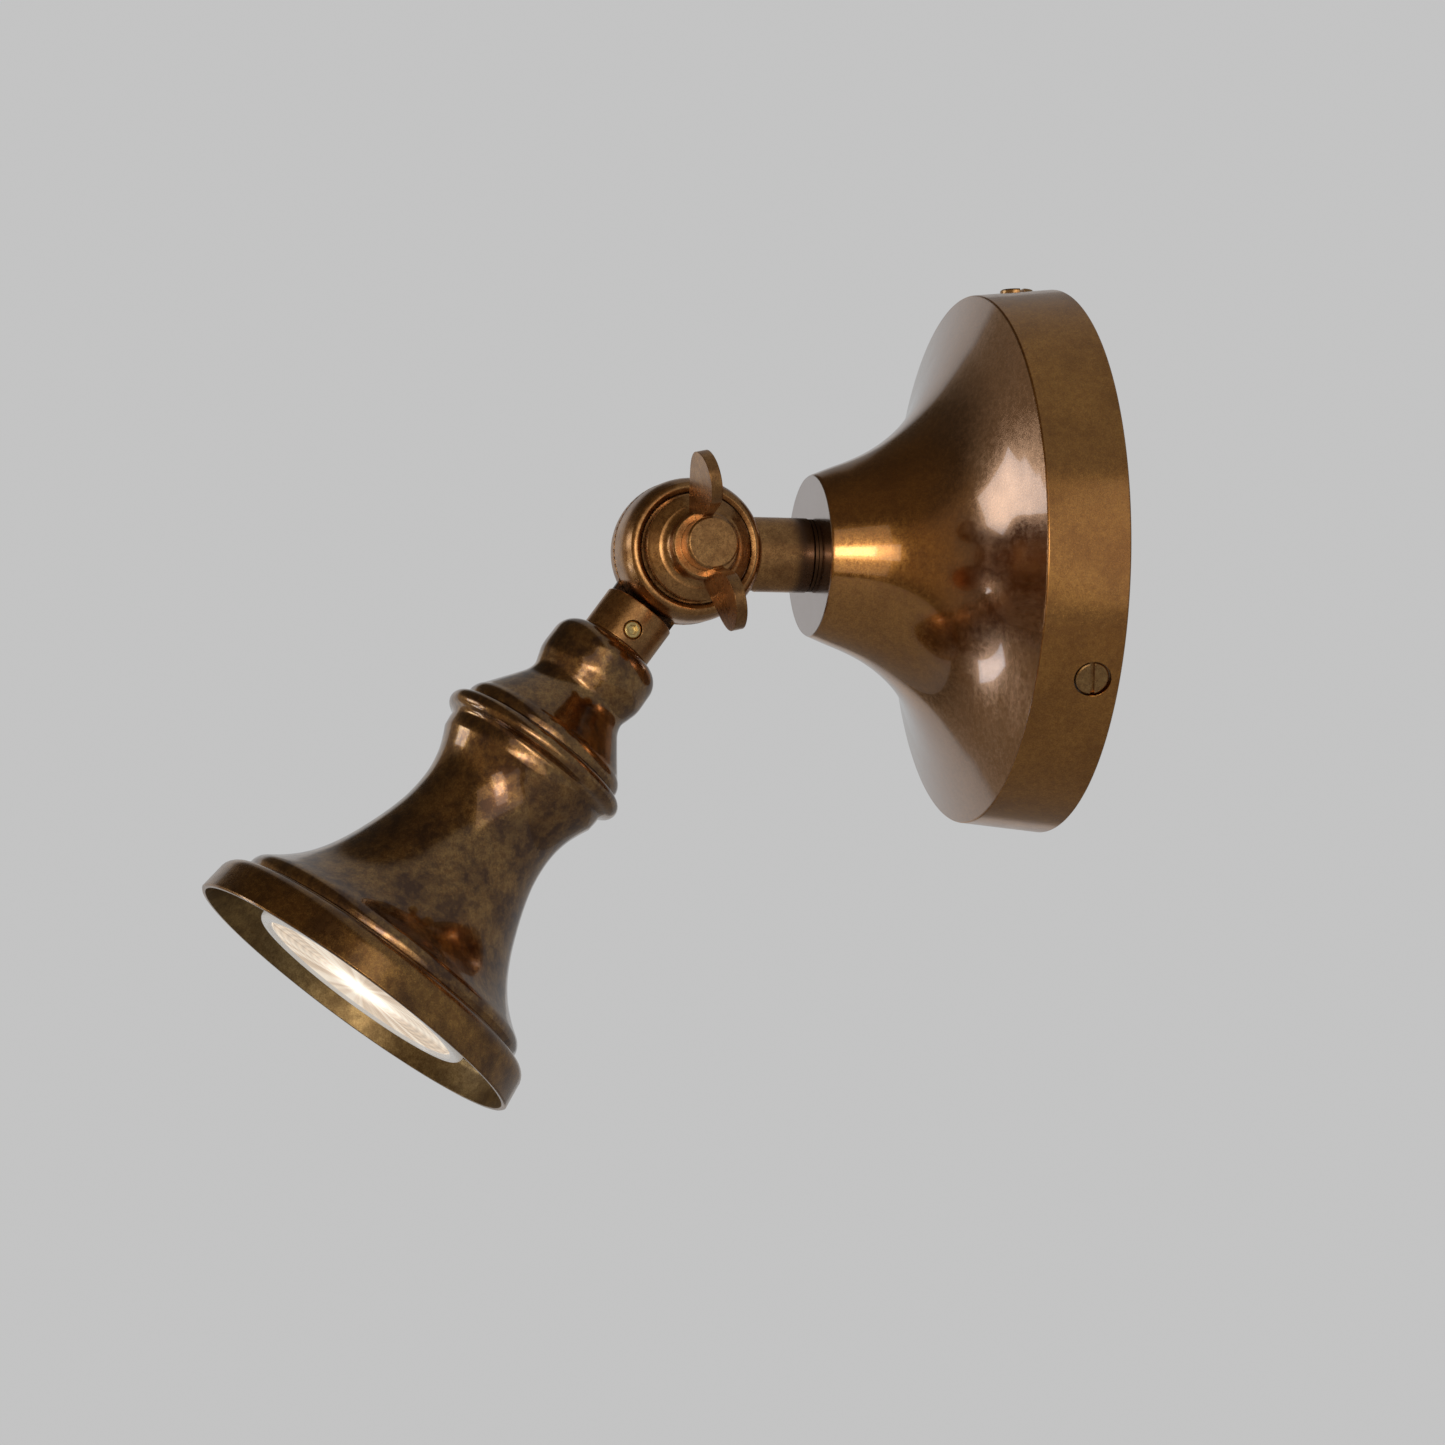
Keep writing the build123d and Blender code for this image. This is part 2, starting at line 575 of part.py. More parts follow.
# Brass grub screw with a hexagon socket
with BuildPart() as grub_screw:
    with BuildSketch(Plane(origin=HINGE + AIM * GRUB_S + Vector(5.6, 0, 0), x_dir=AIM,
                           z_dir=(1, 0, 0))):
        Circle(GRUB_R)
    extrude(amount=1.95)
    chamfer(grub_screw.edges().filter_by(GeomType.CIRCLE).sort_by(Axis.X)[-1], 0.3)
    with BuildSketch(Plane(origin=HINGE + AIM * GRUB_S + Vector(6.2, 0, 0), x_dir=AIM,
                           z_dir=(1, 0, 0))):
        RegularPolygon(0.9, 6, major_radius=False)
    extrude(amount=2, mode=Mode.SUBTRACT)
finish(grub_screw, "grub_screw")

# Cap: turned gallery with a screwed skirt that goes up inside the shade
cap_inner = inset(CAP, SHEET)
with BuildPart() as shade_cap:
    with BuildSketch(HEAD_PROFILE):
        with BuildLine():
            Line((NIPPLE_R, COLLAR_END + 0.2), (8.6, COLLAR_END + 0.2))
            ThreePointArc((8.6, COLLAR_END + 0.2), (11.0, 25.9), CAP[0])
            Spline(*CAP)
            ThreePointArc(CAP[-1], (18.0, 48.2), (18.35, 49.4))
            Line((18.35, 49.4), (18.2, CAP_END))
            Line((18.2, CAP_END), (16.9, CAP_END))
            Line((16.9, CAP_END), (16.9, 54.8))
            Line((16.9, 54.8), (15.7, 54.8))
            Line((15.7, 54.8), (15.7, 48.0))
            Line((15.7, 48.0), cap_inner[-1])
            Spline(*reversed(cap_inner))
            Line(cap_inner[0], (NIPPLE_R + 5.0, 26.6))
            Line((NIPPLE_R + 5.0, 26.6), (NIPPLE_R, 26.6))
            Line((NIPPLE_R, 26.6), (NIPPLE_R, COLLAR_END + 0.2))
        make_face()
    revolve(axis=HEAD_AXIS)
finish(shade_cap, "shade_cap")

# Nipple and lock nut that hold the cap to the collar
with BuildPart() as head_nipple:
    with BuildSketch(head_plane(22.0)):
        Circle(NIPPLE_R)
        Circle(NIPPLE_BORE, mode=Mode.SUBTRACT)
    extrude(amount=9.6)
finish(head_nipple, "head_nipple")

with BuildPart() as head_nut:
    with BuildSketch(head_plane(27.75)):
        RegularPolygon(7.0, 6, major_radius=False)
        Circle(NIPPLE_R, mode=Mode.SUBTRACT)
    extrude(amount=3.2)
finish(head_nut, "head_nut")

# Shade: rolled bead, plain shoulder, waist and bell
bell_inner = inset(BELL, SHEET)
with BuildPart() as shade:
    with BuildSketch(HEAD_PROFILE):
        with BuildLine():
            Line((17.0, SHADE_START), (18.6, SHADE_START))
            ThreePointArc((18.6, SHADE_START), (20.75, 52.8), (19.3, 54.6))
            ThreePointArc((19.3, 54.6), (18.6, 55.2), (18.45, 56.2))
            Line((18.45, 56.2), (18.2, 58.4))
            Spline((18.2, 58.4), *BELL)
            ThreePointArc(BELL[-1], (32.6, 103.4), (33.1, 104.8))
            Line((33.1, 104.8), (32.7, SHADE_END))
            Line((32.7, SHADE_END), (31.3, SHADE_END))
            Line((31.3, SHADE_END), bell_inner[-1])
            Spline(*reversed(bell_inner))
            Line(bell_inner[0], (17.0, 58.0))
            Line((17.0, 58.0), (17.0, SHADE_START))
        make_face()
    revolve(axis=HEAD_AXIS)
finish(shade, "shade")

# Front ring: rounded shoulder and straight band with a thin bright lip
with BuildPart() as front_ring:
    with BuildSketch(HEAD_PROFILE):
        with BuildLine():
            Line((31.4, SHADE_END + 0.05), (33.3, SHADE_END + 0.05))
            Line((33.3, SHADE_END + 0.05), (33.6, 106.4))
            ThreePointArc((33.6, 106.4), (36.3, 107.3), (37.4, 109.8))
            Line((37.4, 109.8), (MOUTH_R, MOUTH_S - 0.3))
            Line((MOUTH_R, MOUTH_S - 0.3), (MOUTH_R - 0.3, MOUTH_S))
            Line((MOUTH_R - 0.3, MOUTH_S), (MOUTH_R - 1.0, MOUTH_S))
            Line((MOUTH_R - 1.0, MOUTH_S), (36.1, 109.6))
            ThreePointArc((36.1, 109.6), (35.3, 108.3), (33.8, 107.7))
            Line((33.8, 107.7), (31.4, 107.4))
            Line((31.4, 107.4), (31.4, SHADE_END + 0.05))
        make_face()
    revolve(axis=HEAD_AXIS)
finish(front_ring, "front_ring")


# Steel strap under the lock nut; its two feet carry the lampholder
with BuildPart() as holder_strap:
    with BuildSketch(head_plane(26.65)):
        Circle(9.2)
        Circle(NIPPLE_R + 0.1, mode=Mode.SUBTRACT)
    extrude(amount=1.0)
    with BuildSketch(head_plane(26.65)):
        with Locations((0, 7.9), (0, -7.9)):
            Rectangle(7, 1.0)
    extrude(amount=HOLDER_S0 - 26.65)
    with BuildSketch(head_plane(HOLDER_S0 - 1.0)):
        with Locations((0, 5.9), (0, -5.9)):
            Rectangle(7, 5.0)
    extrude(amount=1.0)
    with BuildSketch(head_plane(HOLDER_S0 - 2)):
        with Locations((0, 5.2), (0, -5.2)):
            Circle(1.35)
    extrude(amount=4, mode=Mode.SUBTRACT)
finish(holder_strap, "holder_strap")

# Ceramic lampholder: curved key slots let the lamp pins in and lock them
with BuildLine() as turn_right:
    CenterArc((0, 0), PIN_PITCH / 2, -TWIST, TWIST)
with BuildLine() as turn_left:
    CenterArc((0, 0), PIN_PITCH / 2, 180 - TWIST, TWIST)
entry = [(PIN_PITCH / 2 * cos(radians(a - TWIST)), PIN_PITCH / 2 * sin(radians(a - TWIST)))
         for a in (0, 180)]

with BuildPart() as lampholder:
    with BuildSketch(head_plane(HOLDER_S0)):
        Circle(HOLDER_R)
    extrude(amount=HOLDER_S1 - HOLDER_S0)
    chamfer(lampholder.edges().filter_by(GeomType.CIRCLE), 0.6)
    with BuildSketch(head_plane(HOLDER_S1 - 3)):
        SlotArc(turn_right.edge(), 3.3)
        SlotArc(turn_left.edge(), 3.3)
        with Locations(*entry):
            Circle(2.75)
    extrude(amount=4, mode=Mode.SUBTRACT)
    with BuildSketch(head_plane(HOLDER_S1 - 8.4)):
        SlotArc(turn_right.edge(), 5.5)
        SlotArc(turn_left.edge(), 5.5)
    extrude(amount=5.8, mode=Mode.SUBTRACT)
    with BuildSketch(head_plane(HOLDER_S0 - 1)):
        with Locations((PIN_PITCH / 2, 0), (-PIN_PITCH / 2, 0)):
            Rectangle(2.2, 4.2)
        with Locations((0, 5.2), (0, -5.2)):
            Circle(1.25)
    extrude(amount=8, mode=Mode.SUBTRACT)
finish(lampholder, "lampholder")

# Two screws through the strap's feet
with BuildPart() as holder_screws:
    for side in (-5.2, 5.2):
        with BuildSketch(head_plane(HOLDER_S0 - 1.05)):
            with Locations((0, side)):
                Circle(1.25)
        extrude(amount=6.5)
        with BuildSketch(head_plane(HOLDER_S0 - 2.7)):
            with Locations((0, side)):
                Circle(2.1)
        extrude(amount=1.65)
        with BuildSketch(head_plane(HOLDER_S0 - 2.0)):
            with Locations((0, side)):
                Rectangle(6, 0.6)
        extrude(amount=-2, mode=Mode.SUBTRACT)
finish(holder_screws, "holder_screws")

# Brass contacts behind the pins
with BuildPart() as holder_contacts:
    for side in (-PIN_PITCH / 2, PIN_PITCH / 2):
        with BuildSketch(head_plane(HOLDER_S0 + 0.6)):
            with Locations((side, 0)):
                Rectangle(2.0, 4.0)
        extrude(amount=5.4)
        with BuildSketch(head_plane(HOLDER_S0 + 5.99)):
            with Locations((side, 0)):
                Circle(2.1)
        extrude(amount=1.0)
finish(holder_contacts, "holder_contacts")


def in_head(s, x=0.0, side=0.0):
    """Point at a distance along the head axis, or beside it."""
    p = HINGE + AIM * s + SIDE * side
    return (x, p.Y, p.Z)


# Sheathed lead from the knuckle through the collar, and its two conductors
with BuildPart() as head_lead:
    add(wire([in_head(3.0, -1.1, 6.6), in_head(LEAD_TURN, HEAD_PASSAGE_X),
              in_head(13.8, HEAD_PASSAGE_X), in_head(24.2), in_head(42)], LEAD_R))
    for side in (-1, 1):
        add(wire([in_head(41.8, 0.85 * side), in_head(44.5, 0.85 * side),
                  in_head(49.0, 5.0 * side), in_head(HOLDER_S0 + 0.4, 5.0 * side)], 0.8, 1.5))
finish(head_lead, "head_lead")

# ================================================================== LAMP
LAMP_SIDE = [(LAMP_BASE_R, 76.0), (14.1, 79.8), (15.6, 84.6), (17.6, 89.6), (20.0, 94.3),
             (22.4, 98.0), (24.2, 101.6)]

with BuildPart() as lamp_body:
    with BuildSketch(HEAD_PROFILE):
        with BuildLine():
            Polyline((0, LAMP_BASE_S), (LAMP_BASE_R - 0.5, LAMP_BASE_S),
                     (LAMP_BASE_R, LAMP_BASE_S + 0.5), LAMP_SIDE[0])
            Spline(*LAMP_SIDE)
            Polyline(LAMP_SIDE[-1], (24.8, 103.6), (24.8, 109.2), (22.4, 109.2), (22.4, 104.0),
                     (0, 104.0), (0, LAMP_BASE_S))
        make_face()
    revolve(axis=HEAD_AXIS)
finish(lamp_body, "lamp_body")

with BuildPart() as lamp_pins:
    for side in (-PIN_PITCH / 2, PIN_PITCH / 2):
        with BuildSketch(head_plane(LAMP_BASE_S)):
            with Locations((side, 0)):
                Circle(1.45)
        extrude(amount=-3.6)
        with BuildSketch(head_plane(LAMP_BASE_S - 3.5)):
            with Locations((side, 0)):
                Circle(2.4)
        extrude(amount=-3.6)
finish(lamp_pins, "lamp_pins")

# Circuit board with its light-emitting chips, behind the lens
with BuildPart() as led_board:
    with BuildSketch(head_plane(104.05)):
        Circle(21.5)
    extrude(amount=1.4)
    with BuildSketch(head_plane(105.4)):
        with PolarLocations(9.0, 8):
            Rectangle(3.4, 3.4)
    extrude(amount=0.8)
finish(led_board, "led_board")

with BuildPart() as lamp_rim:
    with BuildSketch(HEAD_PROFILE):
        with BuildLine():
            Polyline((22.3, 109.25), (24.8, 109.25), (LAMP_R, 109.6), (LAMP_R, 111.9))
            ThreePointArc((LAMP_R, 111.9), (24.6, 112.7), (23.9, LAMP_FACE_S))
            Polyline((23.9, LAMP_FACE_S), (22.9, LAMP_FACE_S), (22.3, 112.4), (22.3, 109.25))
        make_face()
    revolve(axis=HEAD_AXIS)
finish(lamp_rim, "lamp_rim")

with BuildPart() as lamp_lens:
    with BuildSketch(HEAD_PROFILE):
        with BuildLine():
            Polyline((0, 109.3), (22.2, 109.3), (22.2, 112.1), (21.7, 112.5), (0, 112.5),
                     (0, 109.3))
        make_face()
    revolve(axis=HEAD_AXIS)
finish(lamp_lens, "lamp_lens")
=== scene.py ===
"""Aged brass wall picture light: materials, turned surfaces, light and camera.

Metres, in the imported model's frame: the wall is y = 0, the light stands out
towards -Y, and the knuckle axis runs along X through HINGE.  Profiles are
(radius, distance along the axis) in millimetres, as on the drawing.
"""

import json
import math
import bmesh
import bpy
from mathutils import Matrix, Vector


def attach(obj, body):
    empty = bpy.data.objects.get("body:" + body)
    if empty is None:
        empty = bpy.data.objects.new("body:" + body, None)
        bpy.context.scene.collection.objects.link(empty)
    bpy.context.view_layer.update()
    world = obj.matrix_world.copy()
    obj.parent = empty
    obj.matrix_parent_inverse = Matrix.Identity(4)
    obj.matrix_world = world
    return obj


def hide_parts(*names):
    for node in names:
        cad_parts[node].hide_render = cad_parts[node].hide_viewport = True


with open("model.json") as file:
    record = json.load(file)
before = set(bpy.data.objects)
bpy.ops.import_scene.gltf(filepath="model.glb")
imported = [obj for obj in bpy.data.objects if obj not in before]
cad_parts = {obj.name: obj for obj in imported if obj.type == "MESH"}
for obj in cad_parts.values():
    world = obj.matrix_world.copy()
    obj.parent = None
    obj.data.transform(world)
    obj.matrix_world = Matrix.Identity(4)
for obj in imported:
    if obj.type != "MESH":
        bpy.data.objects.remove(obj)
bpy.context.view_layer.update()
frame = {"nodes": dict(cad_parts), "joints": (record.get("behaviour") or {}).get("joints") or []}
nodes = frame["nodes"]
joints = {j["name"]: j for j in frame["joints"]}
HINGE = Vector(joints["head_tilt"]["pos_m"])
AIM = Vector(joints["lamp_twist"]["axis"]).normalized()
X_AXIS, OUT = Vector((1, 0, 0)), Vector((0, -1, 0))
MM = 0.001


# ------------------------------------------------------------------ materials
class Nodes:
    """Short names for the shader nodes this script uses."""

    def __init__(self, tree):
        self.nt = tree

    def node(self, kind, **props):
        n = self.nt.nodes.new(kind)
        for key, value in props.items():
            setattr(n, key, value)
        return n

    def put(self, value, socket):
        if isinstance(value, bpy.types.NodeSocket):
            self.nt.links.new(value, socket)
        elif isinstance(value, tuple) and len(socket.default_value) == 4:
            socket.default_value = (*value[:3], 1)
        else:
            socket.default_value = value

    def math(self, op, a, b=0.0):
        n = self.node("ShaderNodeMath", operation=op)
        self.put(a, n.inputs[0])
        self.put(b, n.inputs[1])
        return n.outputs[0]

    def vector(self, op, a, b=(0.0, 0.0, 0.0)):
        n = self.node("ShaderNodeVectorMath", operation=op)
        self.put(a, n.inputs[0])
        self.put(b, n.inputs[1])
        return n.outputs["Value" if op == "DOT_PRODUCT" else "Vector"]

    def noise(self, size_mm, detail=3.0, rough=0.55, where=None):
        n = self.node("ShaderNodeTexNoise")
        n.inputs["Scale"].default_value = 1.0 / (size_mm * MM)
        n.inputs["Detail"].default_value = detail
        n.inputs["Roughness"].default_value = rough
        self.put(where or self.place, n.inputs["Vector"])
        return n.outputs["Fac"]

    def span(self, value, lo, hi, to_lo=0.0, to_hi=1.0):
        n = self.node("ShaderNodeMapRange", interpolation_type="SMOOTHSTEP")
        for number, socket in zip((value, lo, hi, to_lo, to_hi), n.inputs):
            self.put(number, socket)
        return n.outputs[0]

    def mix(self, fac, a, b, blend="MIX"):
        n = self.node("ShaderNodeMix", data_type="RGBA", blend_type=blend)
        for value, socket in ((fac, n.inputs[0]), (a, n.inputs[6]), (b, n.inputs[7])):
            self.put(value, socket)
        return n.outputs[2]


class Mat(Nodes):
    """A Principled material whose textures lie in the object's own millimetres."""

    def __init__(self, name):
        self.mat = bpy.data.materials.new(name)
        self.mat.use_nodes = True
        super().__init__(self.mat.node_tree)
        self.bsdf = next(n for n in self.nt.nodes if n.type == "BSDF_PRINCIPLED")
        self.place = self.node("ShaderNodeTexCoord").outputs["Object"]

    def set(self, **sockets):
        for name, value in sockets.items():
            self.put(value, self.bsdf.inputs[name.replace("_", " ")])
        return self

    def bump(self, height, strength, depth_mm, edge_mm=0.0):
        """Fine relief; edge_mm softens sharp edges so that they catch the light."""
        n = self.node("ShaderNodeBump")
        if edge_mm:
            edge = self.node("ShaderNodeBevel", samples=6)
            edge.inputs["Radius"].default_value = edge_mm * MM
            self.put(edge.outputs[0], n.inputs["Normal"])
        n.inputs["Strength"].default_value = strength
        n.inputs["Distance"].default_value = depth_mm * MM
        self.put(height, n.inputs["Height"])
        self.put(n.outputs[0], self.bsdf.inputs["Normal"])

    def radius(self, origin, axis):
        """Distance from an axis."""
        away = self.vector("SUBTRACT", self.place, tuple(origin))
        across = self.vector("CROSS_PRODUCT", away, tuple(axis))
        n = self.node("ShaderNodeVectorMath", operation="LENGTH")
        self.put(across, n.inputs[0])
        return n.outputs["Value"]

    def along(self, origin, axis):
        """Distance along an axis as a vector, for fine turned rings."""
        n = self.node("ShaderNodeCombineXYZ")
        away = self.vector("SUBTRACT", self.place, tuple(origin))
        self.put(self.vector("DOT_PRODUCT", away, tuple(axis)), n.inputs[0])
        return n.outputs[0]


def brass(name, light, mid, dark, patches=0.5, patch_mm=9.0, rough=0.24, turned=None,
          rings=0.0, speckle=0.3, coat=0.5, coat_rough=0.10, bump=0.10, bloom=None,
          edge_mm=0.3, tint=None):
    """Aged brass: gold and brown tones in a fine speckle, with larger brown patches.

    bloom is (start, end, colour): a film of that colour grows between the two radii.
    tint is (origin, axis, start, end, colour): that colour sets in from start to end.
    """
    m = Mat(name)
    speck = m.noise(0.30, 3.0, 0.7)
    grain = m.noise(1.2, 6.0, 0.7)
    patch = m.noise(patch_mm, 8.0, 0.68)
    cloud = m.noise(patch_mm * 3.3, 3.0, 0.55)
    tone = m.mix(m.span(grain, 0.34, 0.66), mid, light)
    worn = m.math("ADD", m.math("MULTIPLY", m.span(patch, 0.40, 0.66), patches),
                  m.math("MULTIPLY", m.span(cloud, 0.40, 0.68), patches * 0.7))
    tone = m.mix(worn, tone, dark)
    if bloom:
        start, end, film = bloom
        film = m.mix(m.span(grain, 0.36, 0.64), tuple(c * 0.82 for c in film), film)
        out = m.math("ADD", m.radius(*turned), m.math("MULTIPLY", patch, 0.008))
        tone = m.mix(m.span(out, start * MM, end * MM), tone, film)
    shade = m.mix(m.span(speck, 0.30, 0.70), (0.55, 0.53, 0.50), (1.35, 1.36, 1.40))
    tone = m.mix(speckle, tone, shade, "MULTIPLY")
    if tint:
        origin, axis, start, end, film = tint
        far = m.vector("DOT_PRODUCT", m.vector("SUBTRACT", m.place, tuple(origin)), tuple(axis))
        tone = m.mix(m.span(far, start * MM, end * MM), tone, film)
    height = m.math("ADD", m.math("MULTIPLY", speck, 0.6), m.math("MULTIPLY", grain, 0.7))
    if turned:
        line = m.noise(0.45, 2.0, 0.8, m.along(*turned))
        height = m.math("ADD", height, m.math("MULTIPLY", line, rings))
    m.set(Base_Color=tone, Metallic=1.0, Coat_Weight=coat, Coat_Roughness=coat_rough,
          Roughness=m.span(m.math("ADD", grain, m.math("MULTIPLY", patch, 0.8)), 0.6, 1.2,
                           rough - 0.05, rough + 0.09))
    m.bump(height, bump, 0.03, edge_mm)
    return m.mat


def plain(name, color, rough=0.4, metallic=0.0, vary=0.12, grain_mm=0.8, bump=0.1, **more):
    """Paint, plastic, rubber or plated steel with a slight mottle and grain."""
    m = Mat(name)
    fine, broad = m.noise(grain_mm, 3.0), m.noise(grain_mm * 9, 3.0)
    low = tuple(c * (1 - vary) for c in color)
    high = tuple(min(1.0, c * (1 + vary)) for c in color)
    tone = m.mix(m.math("MULTIPLY", m.math("ADD", fine, broad), 0.5), low, high)
    m.set(Base_Color=tone, Metallic=metallic, **more,
          Roughness=m.span(fine, 0.3, 0.7, rough - 0.05, rough + 0.07))
    m.bump(fine, bump, 0.05)
    return m.mat


LIGHT, MID, DARK = (0.69, 0.34, 0.09), (0.54, 0.245, 0.065), (0.36, 0.155, 0.045)
ARM = (0.68, 0.37, 0.14), (0.50, 0.25, 0.09), (0.28, 0.13, 0.05)
rose_turned, head_turned = ((0, 0, 0), OUT), (HINGE, AIM)
MATERIALS = {
    "rose": brass("rose_brass", LIGHT, MID, DARK, 0.5, 10, 0.20, rose_turned, 0.12,
                  speckle=0.35, coat=0.5, coat_rough=0.06),
    "flare": brass("flare_brass", LIGHT, MID, DARK, 0.5, 10, 0.17, rose_turned, 0.12,
                   speckle=0.35, coat=1.0, coat_rough=0.04, bloom=(27, 41, (0.50, 0.29, 0.165)),
                   tint=((0, 0, 0), OUT, 51.1, 51.25, (0.62, 0.53, 0.49))),
    "arm": brass("arm_brass", *ARM, 0.5, 4, 0.27, speckle=0.45, coat=0.2),
    # Painted shade: the arm's stem darkens towards its foot, within about 6 mm of the wall, standing
    # in for the shade where it meets the rose's neck face.
    "stem": brass("stem_brass_painted_shade", *ARM, 0.5, 4, 0.27, speckle=0.45, coat=0.2,
                  tint=((0, 0, 0), OUT, 57.0, 54.2, (0.13, 0.065, 0.032))),
    # Painted shade: from 13.8 mm along the head's axis on, the head knuckle turns nearly black,
    # standing in for the shadow in the recess between ball and collar.
    "neck": brass("neck_brass_painted_shade", *ARM, 0.5, 4, 0.27, speckle=0.45, coat=0.2,
                  tint=(HINGE, AIM, 12.8, 13.8, (0.04, 0.024, 0.015))),
    "head": brass("head_brass", (0.56, 0.32, 0.11), (0.36, 0.175, 0.055), (0.15, 0.072, 0.036),
                  0.75, 3.4, 0.18, head_turned, 0.12, speckle=0.45, coat=0.9, coat_rough=0.04),
    "band": brass("band_brass", (0.60, 0.32, 0.09), (0.40, 0.19, 0.055), (0.18, 0.085, 0.032),
                  0.6, 6, 0.24, head_turned, 0.12, speckle=0.4, coat=0.6),
    "inside": brass("inside_brass", (0.46, 0.32, 0.14), (0.31, 0.205, 0.09), (0.16, 0.10, 0.045),
                    0.6, 5, 0.34, head_turned, 2.0, speckle=0.4, coat=0.0, bump=0.3),
    "screw": brass("screw_brass", (0.64, 0.40, 0.16), (0.46, 0.26, 0.10), DARK, 0.5, 2.5, 0.28),
    "bright": brass("bright_brass", (0.90, 0.70, 0.30), (0.80, 0.58, 0.22), (0.45, 0.28, 0.10),
                    0.3, 2, 0.20, speckle=0.2),
    "steel": plain("zinc_steel", (0.58, 0.58, 0.56), 0.33, 1.0),
    "dark_steel": plain("dark_washer", (0.12, 0.065, 0.035), 0.42, 1.0),
    "rubber": plain("black_rubber", (0.025, 0.025, 0.025), 0.7),
    "block": plain("white_polyamide", (0.74, 0.74, 0.70), 0.5, vary=0.04),
    "sheath": plain("lead_sheath", (0.62, 0.58, 0.48), 0.55),
    "earth": plain("earth_sleeve", (0.20, 0.46, 0.07), 0.5),
    "ceramic": plain("ceramic", (0.78, 0.75, 0.68), 0.55, vary=0.05),
    # Painted glow: the lamp's white body and rim give off a faint light of their own, standing in for
    # lens light scattered into the white plastic.
    "lamp": plain("lamp_white", (0.80, 0.80, 0.79), 0.30, vary=0.03, bump=0.03,
                  Emission_Color=(1.0, 0.98, 0.95), Emission_Strength=0.22),
    "board": plain("circuit_white", (0.76, 0.76, 0.72), 0.5, vary=0.05),
}


def lens_material():
    """Frosted lens: a white-hot middle, warm streaks running outward and faint moulded rings."""
    m = Mat("lamp_lens_glow")
    centre = HINGE + AIM * 112.5 * MM
    away = m.vector("SUBTRACT", m.place, tuple(centre))
    length = m.node("ShaderNodeVectorMath", operation="LENGTH")
    m.put(away, length.inputs[0])
    radius = m.math("MULTIPLY", length.outputs["Value"], 1 / MM)
    core = m.span(radius, 1.0, 14.0, 1.0, 0.0)
    outward = m.vector("NORMALIZE", away)
    rays = m.node("ShaderNodeTexNoise")
    m.put(outward, rays.inputs["Vector"])
    m.put(4.5, rays.inputs["Scale"])
    m.put(3.0, rays.inputs["Detail"])
    ray = m.span(rays.outputs["Fac"], 0.38, 0.62)
    ribs = m.math("MULTIPLY", m.math("ADD", m.math("SINE", m.math("MULTIPLY", radius, 3.4)), 1.0), 0.5)
    spark = m.noise(1.4, 4.0, 0.7)
    glow = m.math("ADD", m.math("MULTIPLY", core, 0.75), m.math("MULTIPLY", ray, 0.26))
    glow = m.math("ADD", glow, m.math("MULTIPLY", m.math("MULTIPLY", spark, ribs), 0.30))
    tone = m.mix(ray, (1.0, 0.68, 0.40), (1.0, 0.85, 0.66))
    tone = m.mix(core, tone, (1.0, 0.95, 0.84))
    m.set(Base_Color=(0.62, 0.60, 0.57), Roughness=0.25, Emission_Color=tone,
          Emission_Strength=m.math("ADD", glow, 0.28))
    m.bump(m.math("ADD", ribs, spark), 0.3, 0.08)
    return m.mat


MATERIALS["lens"] = lens_material()
NODE_MATERIAL = {
    "rose": ["rose_cover"],
    "arm": ["wing_nut", "head_collar"],
    "stem": ["arm_knuckle"],
    "neck": ["head_knuckle"],
    "head": ["shade_cap", "shade"],
    "band": ["front_ring"],
    "screw": ["cover_screws", "knuckle_bolt"],
    "bright": ["grub_screw", "terminal_tubes", "earth_screw", "holder_contacts"],
    "steel": ["mounting_plate", "terminal_screws", "block_screws", "arm_nipple",
              "arm_spring_washer", "arm_nuts", "bolt_washer", "head_nipple", "head_nut",
              "holder_strap", "holder_screws", "lamp_pins"],
    "dark_steel": ["arm_washer", "clamp_washer"],
    "rubber": ["cable_grommet"],
    "block": ["terminal_block"],
    "sheath": ["rose_leads", "arm_lead", "head_lead"],
    "earth": ["earth_lead"],
    "ceramic": ["lampholder"],
    "lamp": ["lamp_body", "lamp_rim"],
    "board": ["led_board"],
    "lens": ["lamp_lens"],
}


def smooth(obj, angle=32):
    """Smooth shading with crisp edges above the angle."""
    mesh = obj.data
    mesh.polygons.foreach_set("use_smooth", [True] * len(mesh.polygons))
    mesh.set_sharp_from_angle(angle=math.radians(angle))


for key, names in NODE_MATERIAL.items():
    for name in names:
        nodes[name].data.materials.clear()
        nodes[name].data.materials.append(MATERIALS[key])


# ------------------------------------------------------------- turned surfaces
def arc(a, through, b, steps=8):
    """Points from a to b on the circle through the middle point, without a."""
    (ax, ay), (bx, by), (cx, cy) = a, through, b
    d = 2 * (ax * (by - cy) + bx * (cy - ay) + cx * (ay - by))
    ux = ((ax**2 + ay**2) * (by - cy) + (bx**2 + by**2) * (cy - ay)
          + (cx**2 + cy**2) * (ay - by)) / d
    uy = ((ax**2 + ay**2) * (cx - bx) + (bx**2 + by**2) * (ax - cx)
          + (cx**2 + cy**2) * (bx - ax)) / d
    radius = math.hypot(ax - ux, ay - uy)
    t0, t1, t2 = (math.atan2(y - uy, x - ux) for x, y in (a, through, b))
    turn = 2 * math.pi
    sweep = (t2 - t0) % turn
    if (t1 - t0) % turn > sweep:
        sweep -= turn
    return [(ux + radius * math.cos(t0 + sweep * i / steps),
             uy + radius * math.sin(t0 + sweep * i / steps)) for i in range(1, steps + 1)]


